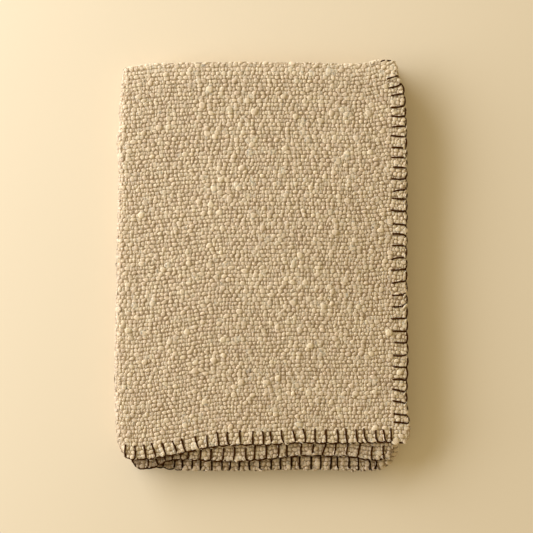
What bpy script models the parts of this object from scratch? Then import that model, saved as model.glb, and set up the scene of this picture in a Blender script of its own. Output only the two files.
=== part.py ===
"""A boucle throw, folded flat: one woven panel, first folded in half across its width and then
laid back and forth in four runs, which makes eight layers. Metres, +Z up, origin at the middle
of the underside; +Y is the end where the cloth is halved, and the hems lie at -Y and +X.

A point of the cloth has flat coordinates: along, from 0 at the end that lies on top to LENGTH,
and across, from -WIDTH / 2 to WIDTH / 2, with 0 on the line where the cloth is halved. The outer
half, across > 0, faces out at the top and at the bottom of the pile, and the inner half lies
inside it. folded() gives each such point its place in the folded throw.
"""

import bmesh
import bpy
import numpy as np

MM = 0.001

# The cloth and how it is piled
LAYER = 4.4 * MM  # thickness of the boucle
PITCH = 5.5 * MM  # from the middle of one layer to the middle of the next
WIDTH = 1200 * MM  # before folding, hem to hem
HALVING_RADIUS = PITCH / 2  # of the fold across the width, at the middle of the cloth
TURN_RADIUS = PITCH  # of the folds between runs, at the middle of the two halves
RIM = TURN_RADIUS + HALVING_RADIUS + LAYER / 2  # from a turn's centre out to its rim
HEM_LINE = WIDTH / 2 - HALVING_RADIUS * np.pi / 2  # flat length of each half below its fold

# Each run's ends in x, as the outside of the hem or of the turn, from the top of the pile down
RUN_ENDS = (
    (216 * MM, -220.5 * MM),
    (-220.5 * MM, 207 * MM),
    (207 * MM, -218.5 * MM),
    (-218.5 * MM, 204 * MM),
)

# Where the edges lie, in mm. Columns: run (1 is on top), x along the run, y of the edge.
HALVING_EDGE = (
    (1, 216, 307), (1, 198, 309.5), (1, 186, 309), (1, 172, 306), (1, 150, 303.5),
    (1, 90, 305), (1, -100, 305.5), (1, -156, 304), (1, -186, 301.5), (1, -206, 299),
    (2, -200, 298), (2, -60, 302), (2, 110, 301), (2, 180, 303),
    (3, 180, 302), (3, 40, 304), (3, -120, 302), (3, -200, 299),
    (4, -200, 299), (4, -40, 303), (4, 120, 301), (4, 204, 303),
)
OUTER_HEM = (
    (1, 216, -267), (1, 195, -266), (1, 157, -266.5), (1, 102, -268), (1, 57, -267),
    (1, 12, -269.5), (1, -32, -270), (1, -66, -272), (1, -93, -276), (1, -114, -281),
    (1, -144, -286), (1, -164, -289), (1, -185, -291.5), (1, -206, -291),
    (2, -205, -289), (2, -150, -292), (2, -30, -290), (2, 90, -287), (2, 190, -291),
    (3, 190, -294), (3, 60, -300), (3, -70, -303), (3, -205, -298),
    (4, -205, -297), (4, -90, -302), (4, 60, -299), (4, 204, -303),
)
INNER_HEM = (
    (1, 216, -292), (1, 186, -293.5), (1, 160, -290.5), (1, 135, -288), (1, 100, -287.5),
    (1, 85, -286.5), (1, 58, -287), (1, 36, -289), (1, -3, -293), (1, -60, -295),
    (1, -110, -293), (1, -129, -292.5), (1, -144, -294), (1, -160, -298.5),
    (1, -170, -301.5), (1, -183, -304), (1, -206, -306),
    (2, -190, -306), (2, -174, -305), (2, -156, -307), (2, -108, -310), (2, 57, -309.5),
    (2, 132, -310), (2, 190, -309.5),
    (3, 190, -305), (3, 70, -301), (3, -60, -305), (3, -190, -303),
    (4, -190, -300), (4, -70, -297), (4, 80, -304), (4, 204, -300),
)

# How far the sides are pulled in (+ is towards the middle) at each y, in mm
LEFT_PULL = (
    (306, 10), (289, 9.5), (277, 7.5), (265, 7), (253, 6), (235, 4), (205, 4), (193, 1.5),
    (181, 0.3), (150, 3), (112, 3), (60, 1), (0, 0), (-250, 0), (-264, 1), (-275, 4.5),
    (-284, 9.5), (-291, 14.5), (-298, 19.5), (-304, 24.5), (-310, 30),
)
RIGHT_PULL_OUTER = (
    (310, 19), (296, 14), (281, 10.5), (269, 6), (247, 3), (217, 1.5), (97, 0), (-23, 0),
    (-143, -1.5), (-225, -1.5), (-250, -5.5), (-262, -3.5), (-268, 2),
)
RIGHT_PULL_INNER = (
    (310, 19), (296, 14), (281, 10), (250, 4), (100, 6), (-60, 12), (-200, 18), (-276, 20.5),
    (-287, 22.5), (-294, 28),
)
RIGHT_PULL_BELOW = (
    (306, 9), (280, 4), (240, 1.5), (120, 2.5), (-40, 0), (-180, 2), (-270, 0), (-288, 1.5),
    (-296, 7), (-303, 16), (-310, 29),
)
PULL_REACH = 120 * MM  # how far into the cloth such a pull is felt
MIDDLE = (-0.9 * MM, -0.85 * MM)  # of the finished outline in plan, which goes to the origin

CORNER_RADIUS = 24 * MM  # in plan, where the halving fold meets the left turns
CORNER = (-220.5 * MM, 305.5 * MM)
PILE_HALF = (220 * MM, 305 * MM)  # half of the pile's width and depth
CROWN = 0.055  # how much thicker the pile is at its middle, as a share
# Slow unevenness of the pile. Columns: share of the height, reach in x and in y (m), start
SWELLS = ((0.024, 0.061, 0.083, 0.6), (0.014, 0.039, 0.064, 2.3), (0.010, 0.052, 0.046, 4.1))
SIDE_HEM_DROP = 2.5 * MM  # of the top layer's free corner, which has nothing under it
SIDE_DROP_REACH = 20 * MM  # in from the side hem
SIDE_DROP_Y = (140 * MM, -160 * MM)  # where it begins and where it is full
LOW_HEM_DROP = 2 * MM  # of the third layer's hem, which is the longest
LOW_DROP_REACH = 16 * MM  # in from the hem
LOW_DROP_CLEAR = 60 * MM  # from each turn to where it is full

# Steps of the mesh
RUN_STEPS = 9
TURN_STEPS = 8
HALF_STEPS = 8
HALVING_STEPS = 6
SIDE_HEM_STEPS = (0, 1.3 * MM, 4 * MM, 14 * MM, 30 * MM)  # in from the ends that lie at +X
HEM_STEPS = (0, 1.3 * MM, 4 * MM, 9 * MM, 15 * MM, 22 * MM, 30 * MM)  # in from the hems at -Y


def smooth(x):
    """0 below 0, 1 above 1, and an even curve between them."""
    x = np.clip(x, 0, 1)
    return x * x * (3 - 2 * x)


def curve_through(rows, at):
    """A smooth curve through rows of (place, value), read at each place."""
    places, values = np.array(sorted(rows), float).T
    slopes = np.gradient(values, places)
    at = np.clip(at, places[0], places[-1])
    i = np.clip(np.searchsorted(places, at) - 1, 0, len(places) - 2)
    step = places[i + 1] - places[i]
    t = (at - places[i]) / step
    rest = 1 - t
    ends = values[i] * rest**2 * (1 + 2 * t) + values[i + 1] * t**2 * (1 + 2 * rest)
    return ends + step * t * rest * (slopes[i] * rest - slopes[i + 1] * t)


def legs():
    """For each run: its direction in x, the ends of its straight part, and where that begins."""
    found = []
    begins = 0
    for run, (first, last) in enumerate(RUN_ENDS):
        way = np.sign(last - first)
        straight = (
            first if run == 0 else first + way * RIM,
            last if run == len(RUN_ENDS) - 1 else last - way * RIM,
        )
        found.append((way, *straight, begins))
        begins += abs(straight[1] - straight[0]) + TURN_RADIUS * np.pi
    return found


LEGS = legs()
LENGTH = LEGS[-1][3] + abs(LEGS[-1][2] - LEGS[-1][1])


def run_height(run):
    """Height of the middle between a run's two halves."""
    layers_below = 2 * (len(RUN_ENDS) - 1 - run)
    return LAYER / 2 + PITCH * (layers_below + 0.5)


def walk(along):
    """The middle between the two halves at each distance along, as x and z, and the x and z of
    the direction in which the outer half lies from it."""
    x, z, out_x, out_z = (np.zeros_like(along) for _ in range(4))
    for run, (way, first, last, begins) in enumerate(LEGS):
        ends = begins + abs(last - first)
        on = (along >= begins) & (along <= ends)
        x[on] = first + way * (along[on] - begins)
        z[on] = run_height(run)
        out_z[on] = -way
        turn = np.clip((along - ends) / TURN_RADIUS, 0, np.pi)
        on = (along > ends) & (turn < np.pi)
        out_x[on] = -np.sin(turn[on])
        out_z[on] = -way * np.cos(turn[on])
        x[on] = last - way * TURN_RADIUS * out_x[on]
        z[on] = run_height(run) - TURN_RADIUS - way * TURN_RADIUS * out_z[on]
    return x, z, out_x, out_z


def edge_line(rows, along):
    """The y of an edge at each distance along, from its table."""
    placed = []
    for run, x, y in rows:
        way, first, last, begins = LEGS[run - 1]
        length = abs(last - first)
        placed.append((begins + np.clip(way * (x * MM - first), 0, length), y * MM))
    return curve_through(placed, along)


def pull(rows, y):
    return curve_through(rows, y / MM) * MM


def round_corner(x, y):
    """Turns the square corner in plan into a quarter circle, by the map from square to disc."""
    right = np.clip((CORNER[0] + CORNER_RADIUS - x) / CORNER_RADIUS, 0, 1.02)
    up = np.clip((y - CORNER[1] + CORNER_RADIUS) / CORNER_RADIUS, 0, 1.02)
    x = x + CORNER_RADIUS * right * (1 - np.sqrt(1 - up**2 / 2))
    return x, y - CORNER_RADIUS * up * (1 - np.sqrt(1 - right**2 / 2))


def folded(along, across, out):
    """The place in the folded throw of each point of the cloth. out is its distance from the
    middle of the cloth's thickness, positive towards the side that shows."""
    half = np.sign(across)
    below = np.abs(across) - HALVING_RADIUS * np.pi / 2
    bend = np.clip(across / HALVING_RADIUS, -np.pi / 2, np.pi / 2)
    from_middle = (HALVING_RADIUS + out) * np.sin(bend)
    x, z, out_x, out_z = walk(along)
    x = x + from_middle * out_x
    z = z + from_middle * out_z

    outermost = HALVING_RADIUS + LAYER / 2
    fold_y = edge_line(HALVING_EDGE, along) - outermost
    hem_y = np.where(
        half > 0, edge_line(OUTER_HEM, along), edge_line(INNER_HEM, along)
    )
    share = below / HEM_LINE
    y = np.where(
        below > 0,
        fold_y + (hem_y - fold_y) * share,
        fold_y + (HALVING_RADIUS + out) * np.cos(bend),
    )

    from_left = smooth(1 - (x - CORNER[0]) / PULL_REACH)
    from_hem = smooth(1 - along / PULL_REACH)
    under = along > LEGS[1][3]
    from_right = smooth(1 - (RUN_ENDS[1][1] - x) / PULL_REACH) * under
    inner = smooth(0.5 - across / HALVING_RADIUS / 4)
    top_pull = pull(RIGHT_PULL_OUTER, y) * (1 - inner) + pull(RIGHT_PULL_INNER, y) * inner
    x = x + pull(LEFT_PULL, y) * from_left
    x = x - top_pull * from_hem - pull(RIGHT_PULL_BELOW, y) * from_right
    x, y = round_corner(x, y)

    towards_corner = smooth((SIDE_DROP_Y[0] - y) / (SIDE_DROP_Y[0] - SIDE_DROP_Y[1]))
    near_side = smooth(1 - along / SIDE_DROP_REACH) * towards_corner
    z = z - SIDE_HEM_DROP * near_side * (half > 0)
    from_turns = np.minimum(along - LEGS[1][3], LEGS[2][3] - 2 * RIM - along)
    near_hem = smooth(1 - (1 - share) * HEM_LINE / LOW_DROP_REACH)
    z = z - LOW_HEM_DROP * near_hem * smooth(from_turns / LOW_DROP_CLEAR) * (half < 0)

    swell = CROWN * np.clip(1 - (x / PILE_HALF[0]) ** 2, 0, 1)
    swell *= np.clip(1 - (y / PILE_HALF[1]) ** 2, 0, 1)
    for height, length_x, length_y, start in SWELLS:
        swell += height * np.sin(x / length_x + start) * np.cos(y / length_y - start)
    return x - MIDDLE[0], y - MIDDLE[1], z * (1 + swell)


def steps_along():
    """Distances along the cloth for the mesh, closer together at turns and hems."""
    found = []
    for run, (_, first, last, begins) in enumerate(LEGS):
        length = abs(last - first)
        spaced = 0.5 - 0.5 * np.cos(np.linspace(0, np.pi, RUN_STEPS + 1))
        found += list(begins + length * spaced)
        turn = np.linspace(0, TURN_RADIUS * np.pi, TURN_STEPS + 1)[1:-1]
        found += list(begins + length + turn) if run < len(LEGS) - 1 else []
    clear = SIDE_HEM_STEPS[-1] * 1.2
    inside = [s for s in found if clear < s < LENGTH - clear]
    other_end = [LENGTH - s for s in reversed(SIDE_HEM_STEPS)]
    return np.array([*SIDE_HEM_STEPS, *inside, *other_end])


def steps_across():
    """Distances across the cloth for the mesh, closer together at the fold and the hems."""
    fold = HALVING_RADIUS * np.pi / 2
    to_hem = WIDTH / 2 - HEM_STEPS[-1] * 1.6
    spaced = np.linspace(0, 1, HALF_STEPS + 1) ** 1.25
    half = [*(fold + (to_hem - fold) * spaced), *(WIDTH / 2 - s for s in reversed(HEM_STEPS))]
    turn = np.linspace(-fold, fold, HALVING_STEPS + 1)[1:-1]
    return np.array([*(-s for s in reversed(half)), *turn, *half])


def thickness_share(along, across):
    """1 inside the cloth, and less towards a cut edge, which is rounded."""
    from_edge = np.minimum(np.minimum(along, LENGTH - along), WIDTH / 2 - np.abs(across))
    inset = np.clip(1 - from_edge / (LAYER * 0.6), 0, 0.93)
    return np.sqrt(1 - inset**2)


def throw_mesh():
    """The flat cloth as a thin slab, with its points moved to where they lie when folded."""
    along, across = steps_along(), steps_across()
    cells = len(along) - 1, len(across) - 1
    bm = bmesh.new()
    bmesh.ops.create_grid(bm, x_segments=cells[0], y_segments=cells[1], size=1)
    bmesh.ops.solidify(bm, geom=bm.faces[:], thickness=LAYER)
    flat = np.array([v.co for v in bm.verts])
    column, row = (np.rint((flat[:, i] + 1) / 2 * cells[i]).astype(int) for i in (0, 1))
    face = np.where(flat[:, 2] > flat[:, 2].mean(), 1, -1)
    s, r = along[column], across[row]
    out = face * LAYER / 2 * thickness_share(s, r)
    for vertex, place in zip(bm.verts, np.stack(folded(s, r, out), 1)):
        vertex.co = place
    bmesh.ops.recalc_face_normals(bm, faces=bm.faces[:])
    mesh = bpy.data.meshes.new("throw_cloth")
    bm.to_mesh(mesh)
    bm.free()
    mesh.shade_smooth()
    return mesh


def boucle_wool():
    material = bpy.data.materials.new("boucle_wool")
    material.use_nodes = True
    shader = material.node_tree.nodes["Principled BSDF"]
    shader.inputs["Base Color"].default_value = (0.61, 0.50, 0.35, 1)
    shader.inputs["Roughness"].default_value = 0.95
    shader.inputs["Metallic"].default_value = 0
    return material


def main():
    for old in list(bpy.data.objects):
        bpy.data.objects.remove(old)
    collection = bpy.data.collections.new("boucle_throw")
    bpy.context.scene.collection.children.link(collection)
    throw = bpy.data.objects.new("throw_cloth", throw_mesh())
    throw.data.materials.append(boucle_wool())
    collection.objects.link(throw)


main()
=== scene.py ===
# %% [markdown]
# # A folded boucle throw
# The real thing is one thick panel of woven wool boucle with a dark brown blanket stitch round all
# four edges. It is folded in half across its width and then laid back and forth in four runs, so
# eight layers lie on each other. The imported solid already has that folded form. This script dresses
# it: a fine woven ground in the same folds, thousands of wool nubs standing on it, and the stitches.

import math

import bpy
import numpy as np
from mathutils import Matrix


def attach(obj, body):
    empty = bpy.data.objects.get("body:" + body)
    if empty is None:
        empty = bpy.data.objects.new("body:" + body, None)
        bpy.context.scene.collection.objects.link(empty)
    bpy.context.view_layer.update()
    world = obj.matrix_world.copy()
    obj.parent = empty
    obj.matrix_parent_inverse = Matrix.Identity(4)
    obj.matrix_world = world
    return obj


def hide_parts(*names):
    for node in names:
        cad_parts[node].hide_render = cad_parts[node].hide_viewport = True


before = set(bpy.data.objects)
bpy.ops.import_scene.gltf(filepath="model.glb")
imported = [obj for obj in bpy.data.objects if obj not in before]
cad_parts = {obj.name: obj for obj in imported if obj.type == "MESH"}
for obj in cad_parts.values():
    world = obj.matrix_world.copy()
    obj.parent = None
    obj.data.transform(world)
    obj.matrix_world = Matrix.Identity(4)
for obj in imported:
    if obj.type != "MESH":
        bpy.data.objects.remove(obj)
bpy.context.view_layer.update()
MM = 0.001

# %% [markdown]
# ## The cloth's own coordinates
# Everything here lies on one sheet, so it is placed in flat coordinates first. `along` runs from 0
# at the end on top to `LENGTH`. `across` runs from -WIDTH/2 to WIDTH/2, with 0 on the line where the
# cloth is halved. `out` is the distance from the middle of its thickness, towards the face that
# shows. One function then folds such points, arrays at a time. The short tables and nearly all
# sizes are those of the solid, so the ground, the nubs and the yarn all follow its folds.

# %% Sizes of the folded cloth
LAYER = 4.4 * MM  # thickness of the boucle
PITCH = 5.5 * MM  # from the middle of one layer to the middle of the next
WIDTH = 1200 * MM
HALVING_RADIUS = PITCH / 2
TURN_RADIUS = PITCH
TURN = TURN_RADIUS * math.pi  # length of cloth in one turn
RIM = TURN_RADIUS + HALVING_RADIUS + LAYER / 2  # from a turn's centre out to its rim
HALVING_REACH = HALVING_RADIUS * math.pi / 2  # of the halving fold, to each side of its line
HEM_LINE = WIDTH / 2 - HALVING_REACH
RUN_ENDS = (  # x at the outside of each run's two ends, from the top of the pile down
    (216 * MM, -220.5 * MM),
    (-220.5 * MM, 207 * MM),
    (207 * MM, -218.5 * MM),
    (-218.5 * MM, 204 * MM),
)
LAST_RUN = len(RUN_ENDS) - 1

# %% [markdown]
# ## Where the edges lie
# Cloth that is folded by hand never lies square: each layer ends a little before or past the one
# above. Short tables say where, with a row for each place at which an edge bends. A smooth curve
# through the rows gives the rest, which is easier to read and to change than a long list of points.

# %% Edges of the layers, in mm: run (1 is on top), x along the run, y of the edge
HALVING_EDGE = (
    (1, 216, 307), (1, 198, 309.5), (1, 186, 309), (1, 172, 306), (1, 150, 303.5),
    (1, 90, 305), (1, -100, 305.5), (1, -156, 304), (1, -186, 301.5), (1, -206, 299),
    (2, -200, 298), (2, -60, 302), (2, 110, 301), (2, 180, 303),
    (3, 180, 302), (3, 40, 304), (3, -120, 302), (3, -200, 299),
    (4, -200, 299), (4, -40, 303), (4, 120, 301), (4, 204, 303),
)
OUTER_HEM = (
    (1, 216, -267), (1, 195, -266), (1, 157, -266.5), (1, 102, -268), (1, 57, -267),
    (1, 12, -269.5), (1, -32, -270), (1, -66, -272), (1, -93, -276), (1, -114, -281),
    (1, -144, -286), (1, -164, -289), (1, -185, -291.5), (1, -206, -291),
    (2, -205, -289), (2, -150, -292), (2, -30, -290), (2, 90, -287), (2, 190, -291),
    (3, 190, -294), (3, 60, -300), (3, -70, -303), (3, -205, -298),
    (4, -205, -297), (4, -90, -302), (4, 60, -299), (4, 204, -303),
)
INNER_HEM = (
    (1, 216, -292), (1, 186, -293.5), (1, 160, -290.5), (1, 135, -288), (1, 100, -287.5),
    (1, 85, -286.5), (1, 58, -287), (1, 36, -289), (1, -3, -293), (1, -60, -295),
    (1, -110, -293), (1, -129, -292.5), (1, -144, -294), (1, -160, -298.5),
    (1, -170, -301.5), (1, -183, -304), (1, -206, -306),
    (2, -190, -306), (2, -174, -305), (2, -156, -307), (2, -108, -310), (2, 57, -309.5),
    (2, 132, -310), (2, 190, -309.5),
    (3, 190, -305), (3, 70, -301), (3, -60, -305), (3, -190, -303),
    (4, -190, -300), (4, -70, -297), (4, 80, -304), (4, 204, -300),
)

# %% How far the sides are pulled in (+ is towards the middle) at each y, in mm
LEFT_PULL = (
    (306, 10), (289, 9.5), (277, 7.5), (265, 7), (253, 6), (235, 4), (205, 4), (193, 1.5),
    (181, 0.3), (150, 3), (112, 3), (60, 1), (0, 0), (-250, 0), (-264, 1), (-275, 4.5),
    (-284, 9.5), (-291, 14.5), (-298, 19.5), (-304, 24.5), (-310, 30),
)
RIGHT_PULL_OUTER = (
    (310, 19), (296, 14), (281, 10.5), (269, 6), (247, 3), (217, 1.5), (97, 0), (-23, 0),
    (-143, -1.5), (-225, -1.5), (-250, -5.5), (-262, -3.5), (-268, 2),
)
RIGHT_PULL_INNER = (
    (310, 19), (296, 14), (281, 10), (250, 4), (100, 6), (-60, 12), (-200, 18), (-276, 20.5),
    (-287, 22.5), (-294, 28),
)
RIGHT_PULL_BELOW = (
    (306, 9), (280, 4), (240, 1.5), (120, 2.5), (-40, 0), (-180, 2), (-270, 0), (-288, 1.5),
    (-296, 7), (-303, 16), (-310, 29),
)
PULL_REACH = 120 * MM  # how far into the cloth such a pull is felt
MIDDLE = (-0.9 * MM, -0.85 * MM)  # of the finished outline, which goes to the origin

# %% Unevenness of the pile
CORNER_RADIUS = 24 * MM  # where the halving fold meets the left turns
CORNER = (-220.5 * MM, 305.5 * MM)
CORNER_MOST = 1.02  # of the rounding, a little past the corner itself
PILE_HALF = (220 * MM, 305 * MM)
CROWN = 0.09  # how much thicker the pile is at its middle, as a share
SWELLS = (  # share of the height, metres of x and of y to one radian of the wave, where it starts
    (0.024, 0.061, 0.083, 0.6),
    (0.014, 0.039, 0.064, 2.3),
    (0.010, 0.052, 0.046, 4.1),
)
SIDE_HEM_DROP = 1.2 * MM  # of the top layer's free corner, which has nothing under it
SIDE_DROP_REACH = 20 * MM
SIDE_DROP_Y = (140 * MM, -160 * MM)  # where it begins and where it is full
LOW_HEM_DROP = 2 * MM  # of the third layer's hem, which is the longest
LOW_DROP_REACH = 16 * MM
LOW_DROP_CLEAR = 60 * MM  # from each turn to where it is full
ROLL = 0.08  # of the height, lost where the pile rolls over its halved edge
ROLL_REACH = 30 * MM


# %% Small helpers for curves
def smooth(x):
    """0 below 0, 1 above 1, and an even curve between them."""
    x = np.clip(x, 0, 1)
    return x * x * (3 - 2 * x)


def curve_through(rows, at):
    """A smooth curve through rows of (place, value), read at each place."""
    places, values = np.array(sorted(rows), float).T
    slopes = np.gradient(values, places)
    at = np.clip(at, places[0], places[-1])
    i = np.clip(np.searchsorted(places, at) - 1, 0, len(places) - 2)
    step = places[i + 1] - places[i]
    t = (at - places[i]) / step
    rest = 1 - t
    ends = values[i] * rest**2 * (1 + 2 * t) + values[i + 1] * t**2 * (1 + 2 * rest)
    return ends + step * t * rest * (slopes[i] * rest - slopes[i + 1] * t)


# %% [markdown]
# ## Folding the cloth
# The fold is a map from the flat cloth to the pile. First the cloth is laid back and forth in runs,
# with a half circle at each turn. Then each half hangs from the halving fold, one on the outside of
# the other. Last come the small things that make it look laid by hand: sides that are pulled in, a
# rounded corner, hems that drop and a top that swells. A cloth simulation could do this too, but
# eight layers that slide on each other are slow to settle and never land where the photo has them.

# %% The runs, laid back and forth
def runs_laid():
    """For each run: its direction in x, the ends of its straight part, and where that begins."""
    found = []
    begins = 0
    for run, (first, last) in enumerate(RUN_ENDS):
        way = np.sign(last - first)
        straight = (
            first if run == 0 else first + way * RIM,
            last if run == LAST_RUN else last - way * RIM,
        )
        found.append((way, *straight, begins))
        begins += abs(straight[1] - straight[0]) + TURN
    return found


RUNS = runs_laid()
LENGTH = RUNS[-1][3] + abs(RUNS[-1][2] - RUNS[-1][1])
print(f"the cloth is {LENGTH:.3f} m long and {WIDTH:.3f} m wide when it lies open")


def run_height(run):
    """Height of the middle between a run's two halves."""
    layers_below = 2 * (LAST_RUN - run)
    return LAYER / 2 + PITCH * (layers_below + 0.5)


print("heights of the runs, in mm:", [round(run_height(run) / MM, 1) for run in range(len(RUNS))])


def walk(along):
    """The middle between the two halves at each distance along, as x and z, and the x and z of
    the direction in which the outer half lies from it."""
    x, z, out_x, out_z = (np.zeros_like(along) for _ in range(4))
    for run, (way, first, last, begins) in enumerate(RUNS):
        ends = begins + abs(last - first)
        on = ((along >= begins) | (run == 0)) & ((along <= ends) | (run == LAST_RUN))
        x[on] = first + way * (along[on] - begins)
        z[on] = run_height(run)
        out_x[on] = 0
        out_z[on] = -way
        turn = np.clip((along - ends) / TURN_RADIUS, 0, math.pi)
        on = (along > ends) & (turn < math.pi) & (run < LAST_RUN)
        out_x[on] = -np.sin(turn[on])
        out_z[on] = -way * np.cos(turn[on])
        x[on] = last - way * TURN_RADIUS * out_x[on]
        z[on] = run_height(run) - TURN_RADIUS - way * TURN_RADIUS * out_z[on]
    return x, z, out_x, out_z


# %% Edges and pulls
def edge_line(rows, along):
    """The y of an edge at each distance along, from its table."""
    placed = []
    for run, x, y in rows:
        way, first, last, begins = RUNS[run - 1]
        length = abs(last - first)
        placed.append((begins + np.clip(way * (x * MM - first), 0, length), y * MM))
    return curve_through(placed, along)


def pull(rows, y):
    return curve_through(rows, y / MM) * MM


def round_corner(x, y):
    """Turns the square corner in plan into a quarter circle, by the map from square to disc."""
    left = np.clip((CORNER[0] + CORNER_RADIUS - x) / CORNER_RADIUS, 0, CORNER_MOST)
    up = np.clip((y - CORNER[1] + CORNER_RADIUS) / CORNER_RADIUS, 0, CORNER_MOST)
    x = x + CORNER_RADIUS * left * (1 - np.sqrt(1 - up**2 / 2))
    return x, y - CORNER_RADIUS * up * (1 - np.sqrt(1 - left**2 / 2))


# %% Fold the cloth
def folded(along, across, out):
    """The place in the folded throw of each point of the cloth, as an array of points."""
    half = np.sign(across)
    below = np.abs(across) - HALVING_REACH
    bend = np.clip(across / HALVING_RADIUS, -math.pi / 2, math.pi / 2)
    from_middle = (HALVING_RADIUS + out) * np.sin(bend)
    x, z, out_x, out_z = walk(along)
    x = x + from_middle * out_x
    z = z + from_middle * out_z

    fold_y = edge_line(HALVING_EDGE, along) - HALVING_RADIUS - LAYER / 2
    hem_y = np.where(half > 0, edge_line(OUTER_HEM, along), edge_line(INNER_HEM, along))
    share = below / HEM_LINE
    hanging = fold_y + (hem_y - fold_y) * share
    y = np.where(below > 0, hanging, fold_y + (HALVING_RADIUS + out) * np.cos(bend))

    from_left = smooth(1 - (x - CORNER[0]) / PULL_REACH)
    from_hem = smooth(1 - along / PULL_REACH)
    from_right = smooth(1 - (RUN_ENDS[1][1] - x) / PULL_REACH) * (along > RUNS[1][3])
    inner = smooth(0.5 - across / HALVING_RADIUS / 4)
    top_pull = pull(RIGHT_PULL_OUTER, y) * (1 - inner) + pull(RIGHT_PULL_INNER, y) * inner
    x = x + pull(LEFT_PULL, y) * from_left
    x = x - top_pull * from_hem - pull(RIGHT_PULL_BELOW, y) * from_right
    x, y = round_corner(x, y)

    towards_corner = smooth((SIDE_DROP_Y[0] - y) / (SIDE_DROP_Y[0] - SIDE_DROP_Y[1]))
    near_side = smooth(1 - along / SIDE_DROP_REACH) * towards_corner
    z = z - SIDE_HEM_DROP * near_side * (half > 0)
    from_turns = np.minimum(along - RUNS[1][3], RUNS[2][3] - 2 * RIM - along)
    near_hem = smooth(1 - (1 - share) * HEM_LINE / LOW_DROP_REACH)
    z = z - LOW_HEM_DROP * near_hem * smooth(from_turns / LOW_DROP_CLEAR) * (half < 0)

    swell = CROWN * np.clip(1 - (x / PILE_HALF[0]) ** 2, 0, 1)
    swell *= np.clip(1 - (y / PILE_HALF[1]) ** 2, 0, 1)
    swell -= ROLL * smooth(1 - (PILE_HALF[1] - y) / ROLL_REACH)
    for height, length_x, length_y, start in SWELLS:
        swell += height * np.sin(x / length_x + start) * np.cos(y / length_y - start)
    return np.stack([x - MIDDLE[0], y - MIDDLE[1], z * (1 + swell)], -1)


hem_ends = folded(np.array([0.0, LENGTH]), np.array([WIDTH, WIDTH]) / 2, np.zeros(2))
print("the outer hem starts and ends at", hem_ends.round(3).tolist())


# %% [markdown]
# ## The hems under their stitches
# A blanket stitch draws the cloth in where each stitch crosses the hem and lets it swell between
# two stitches, so a hand-sewn edge is a row of small pillows. That is a change of the flat sheet
# before it is folded: near a stitch the hem moves in and the cloth is squeezed, and half way to the
# next one it stands out. Every piece below passes through it, so all of them share the pillows.

# %% From the photo's pixels to places on the throw
PIXEL = 1.5 * MM  # of the 533 px picture, at the height of the top layer
PICTURE = 533
LOOKED_AT = (7.65 * MM, -2.15 * MM, 45 * MM)  # the place in the middle of the picture


def x_of(pixels):
    return LOOKED_AT[0] + (np.array(pixels) - PICTURE / 2) * PIXEL


def y_of(pixels):
    return LOOKED_AT[1] - (np.array(pixels) - PICTURE / 2) * PIXEL


# %% Where the photo shows a stitch: pixels along the right side, and across each lower hem
SIDE_SEEN = (
    60.7, 75.8, 83.8, 93.8, 106, 116, 126.3, 136.8, 148.3, 157.6, 167.9, 179, 190, 199.2, 211.2,
    225.2, 234.9, 245.9, 257.9, 269.4, 281.3, 294.1, 305.3, 318.6, 331.8, 343.1, 355, 367.3,
    380.6, 392.3, 403.6, 415.3, 424,
)
FIRST_SEEN = (
    127.2, 135.1, 146.4, 155.9, 166, 176.5, 185.1, 198.5, 208.1, 218.6, 228.5, 240.6, 252.8,
    263.5, 271.8, 283.9, 295.4, 305.3, 315.2, 326.7, 338, 347.1, 357.3, 366.5, 377.2, 385.7,
    391.7,
)
SECOND_SEEN = (
    137.8, 148.3, 157.8, 165.5, 172.2, 180.3, 187.7, 199.8, 210.7, 222.9, 233.3, 245.8, 254.4,
    266.3, 278.3, 287.1, 300.9, 312.2, 322.5, 334.4, 346.6, 357.9, 371.6, 383.4,
)
THIRD_SEEN = (
    139.7, 155, 162.6, 173.6, 181.8, 191.3, 199.8, 211.4, 221.5, 229.6, 238.7, 249.3, 259.9,
    271.1, 280.8, 291, 300, 311.4, 321.1, 331.1, 338.8, 349, 358.9, 369.5, 375.2,
)


# %% Hems, and where along them each of those stitches is
HEMS = ("top_side", "low_side", "outer", "inner")


def hem_coordinates(hem, along, across):
    """For points of the sheet: the distance along that hem, and the depth in from it."""
    return {
        "top_side": (across, along),
        "low_side": (across, LENGTH - along),
        "outer": (along, WIDTH / 2 - across),
        "inner": (along, WIDTH / 2 + across),
    }[hem]


def sheet_coordinates(hem, at, depth):
    """The way back: along and across of points given by a hem."""
    return {
        "top_side": (depth, at),
        "low_side": (LENGTH - depth, at),
        "outer": (at, WIDTH / 2 - depth),
        "inner": (at, depth - WIDTH / 2),
    }[hem]


def from_edge(along, across):
    """How far in from the nearest edge of the sheet each point lies."""
    return np.minimum(np.minimum(along, LENGTH - along), WIDTH / 2 - np.abs(across))


def seen_along(hem, first, last, axis, seen):
    """Where, between first and last along a hem, the folded hem passes these coordinates."""
    at = np.arange(first, last, 0.5 * MM)
    level = np.zeros_like(at)
    line = folded(*sheet_coordinates(hem, at, level), level)[:, axis]
    order = np.argsort(line)
    return np.interp(seen, line[order], at[order])


# %% All the stitches
RANDOM = np.random.default_rng(14)
BITE = 19.5 * MM
SIDE_STITCH = 16.8 * MM
LONG_STITCH = 15.9 * MM
SIDE_END = 25 * MM  # from the corner to the first stitch
LOW_END = 24 * MM
LONG_END = 9 * MM


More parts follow.
